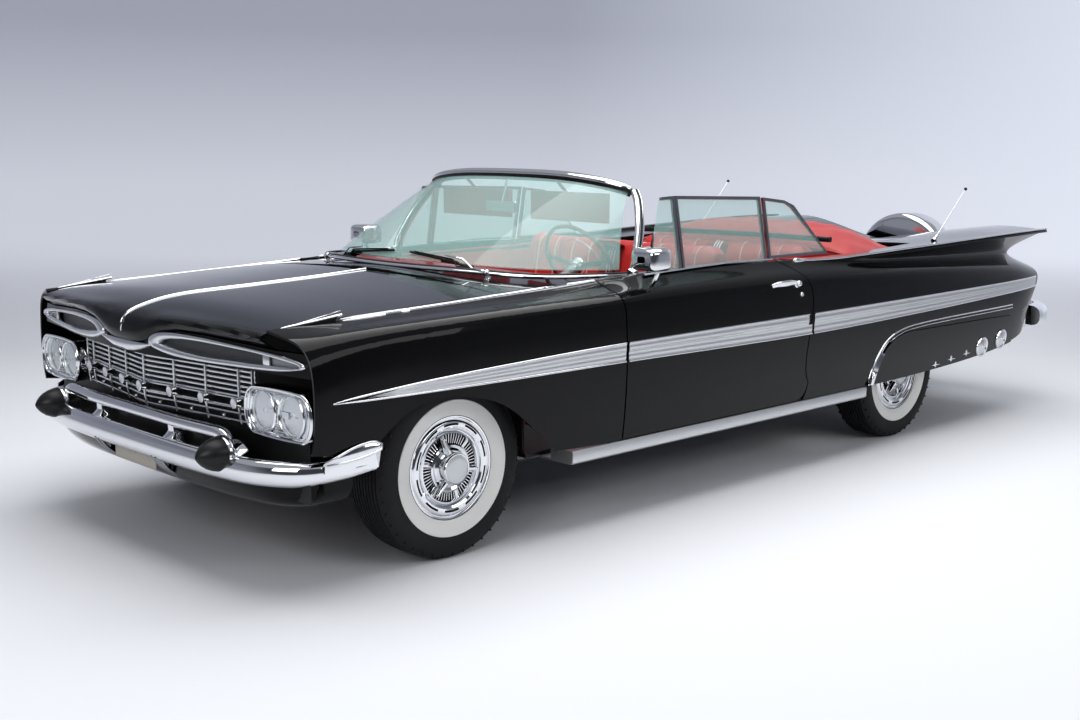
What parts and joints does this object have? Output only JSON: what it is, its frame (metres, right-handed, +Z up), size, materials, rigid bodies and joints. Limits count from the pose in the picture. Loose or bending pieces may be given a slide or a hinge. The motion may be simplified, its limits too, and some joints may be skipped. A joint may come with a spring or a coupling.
{
  "type": "two-door convertible car",
  "caption": "Long low convertible car with opening doors, hood and rear lid, steered front wheels, skirted rear wheels and an outside spare wheel at the tail.",
  "frame": {"origin": "on the ground, midway between the front and rear ends and between the sides", "axes": "+X towards the front of the car, +Y to its left, +Z up"},
  "size_m": [5.54, 2.0346, 1.3862],
  "materials": {
    "black_paint": "deep gloss black",
    "chassis_paint": "satin black",
    "engine_paint": "satin grey",
    "chrome": "polished",
    "brushed_trim": "fine brushed",
    "steel": "plain",
    "tinted_glass": "lightly tinted",
    "red_lens": "clear red",
    "lamp_glass": "bright rim round clear lens",
    "red_leather": "soft sheen",
    "red_fabric": "matt",
    "red_trim": "satin red",
    "tyre": "matt",
    "black_trim": "matt",
    "mirror": "bright"
  },
  "bodies": {
    "body": {"frame": "chassis_paint", "front_suspension": "chassis_paint", "rear_axle": "chassis_paint", "engine": "engine_paint", "driveshaft": "steel", "exhaust": "steel", "fuel_tank": "chassis_paint", "radiator": "chassis_paint", "floor": "chassis_paint", "front_fenders": "black_paint", "quarter_panels": "black_paint", "deck_strip": "black_paint", "nose_panel": "black_paint", "cowl": "black_paint", "tail_panel": "black_paint", "tail_lamps": "red_lens", "rockers": "brushed_trim", "skirts": "black_paint", "windscreen_frame": "chrome", "windscreen_glass": "tinted_glass", "quarter_glass": "tinted_glass", "quarter_glass_frames": "chrome", "front_bumper": "chrome", "rear_bumper": "chrome", "grille": "chrome", "headlamps": "lamp_glass", "spare_wheel": "chrome", "front_seat": "red_leather", "rear_seat": "red_leather", "side_trims": "red_leather", "dashboard": "red_trim", "steering_column": "steel", "top_boot": "red_fabric", "antennas": "chrome", "sun_visors": "red_trim", "inside_mirror": "mirror"},
    "knuckle_left": {"knuckle_left": "steel"},
    "wheel_front_left": {"wheel_front_left": "chrome", "tyre_front_left": "tyre"},
    "wheel_rear_left": {"wheel_rear_left": "chrome", "tyre_rear_left": "tyre"},
    "door_left": {"door_left": "black_paint", "door_glass_left": "tinted_glass", "door_frame_left": "chrome", "door_mirror_left": "chrome"},
    "knuckle_right": {"knuckle_right": "steel"},
    "wheel_front_right": {"wheel_front_right": "chrome", "tyre_front_right": "tyre"},
    "wheel_rear_right": {"wheel_rear_right": "chrome", "tyre_rear_right": "tyre"},
    "door_right": {"door_right": "black_paint", "door_glass_right": "tinted_glass", "door_frame_right": "chrome", "door_mirror_right": "chrome"},
    "hood": {"hood": "black_paint"},
    "deck_lid": {"deck_lid": "black_paint"},
    "steering_wheel": {"steering_wheel": "red_trim"}
  },
  "joints": [
    {"name": "door_left_hinge", "type": "hinge", "parent": "body", "child": "door_left", "pos_m": [1.045, 0.992, 0.65], "axis": [0, 0, -1], "range_deg": [0, 65]},
    {"name": "door_right_hinge", "type": "hinge", "parent": "body", "child": "door_right", "pos_m": [1.045, -0.992, 0.65], "axis": [0, 0, 1], "range_deg": [0, 65]},
    {"name": "hood_hinge", "type": "hinge", "parent": "body", "child": "hood", "pos_m": [1.62, 0, 0.994], "axis": [0, -1, 0], "range_deg": [0, 50]},
    {"name": "deck_lid_hinge", "type": "hinge", "parent": "body", "child": "deck_lid", "pos_m": [-1.449, 0, 0.997], "axis": [0, 1, 0], "range_deg": [0, 50]},
    {"name": "steering_turn", "type": "hinge", "parent": "body", "child": "steering_wheel", "pos_m": [0.75, 0.4, 0.985], "axis": [-0.8807, 0, 0.4737], "range_deg": [-720, 720]},
    {"name": "knuckle_left_steer", "type": "hinge", "parent": "body", "child": "knuckle_left", "pos_m": [1.87, 0.69, 0.34], "axis": [0, 0, 1], "range_deg": [-30, 30]},
    {"name": "knuckle_right_steer", "type": "hinge", "parent": "body", "child": "knuckle_right", "pos_m": [1.87, -0.69, 0.34], "axis": [0, 0, 1], "range_deg": [-30, 30]},
    {"name": "wheel_front_left_spin", "type": "hinge", "parent": "knuckle_left", "child": "wheel_front_left", "pos_m": [1.87, 0.766, 0.34], "axis": [0, 1, 0], "continuous": true},
    {"name": "wheel_rear_left_spin", "type": "hinge", "parent": "body", "child": "wheel_rear_left", "pos_m": [-1.153, 0.753, 0.34], "axis": [0, 1, 0], "continuous": true},
    {"name": "wheel_front_right_spin", "type": "hinge", "parent": "knuckle_right", "child": "wheel_front_right", "pos_m": [1.87, -0.766, 0.34], "axis": [0, 1, 0], "continuous": true},
    {"name": "wheel_rear_right_spin", "type": "hinge", "parent": "body", "child": "wheel_rear_right", "pos_m": [-1.153, -0.753, 0.34], "axis": [0, 1, 0], "continuous": true}
  ],
  "couplings": [
    {"joint": "knuckle_left_steer", "follows": "steering_turn", "ratio": 0.041667},
    {"joint": "knuckle_right_steer", "follows": "steering_turn", "ratio": 0.041667}
  ]
}
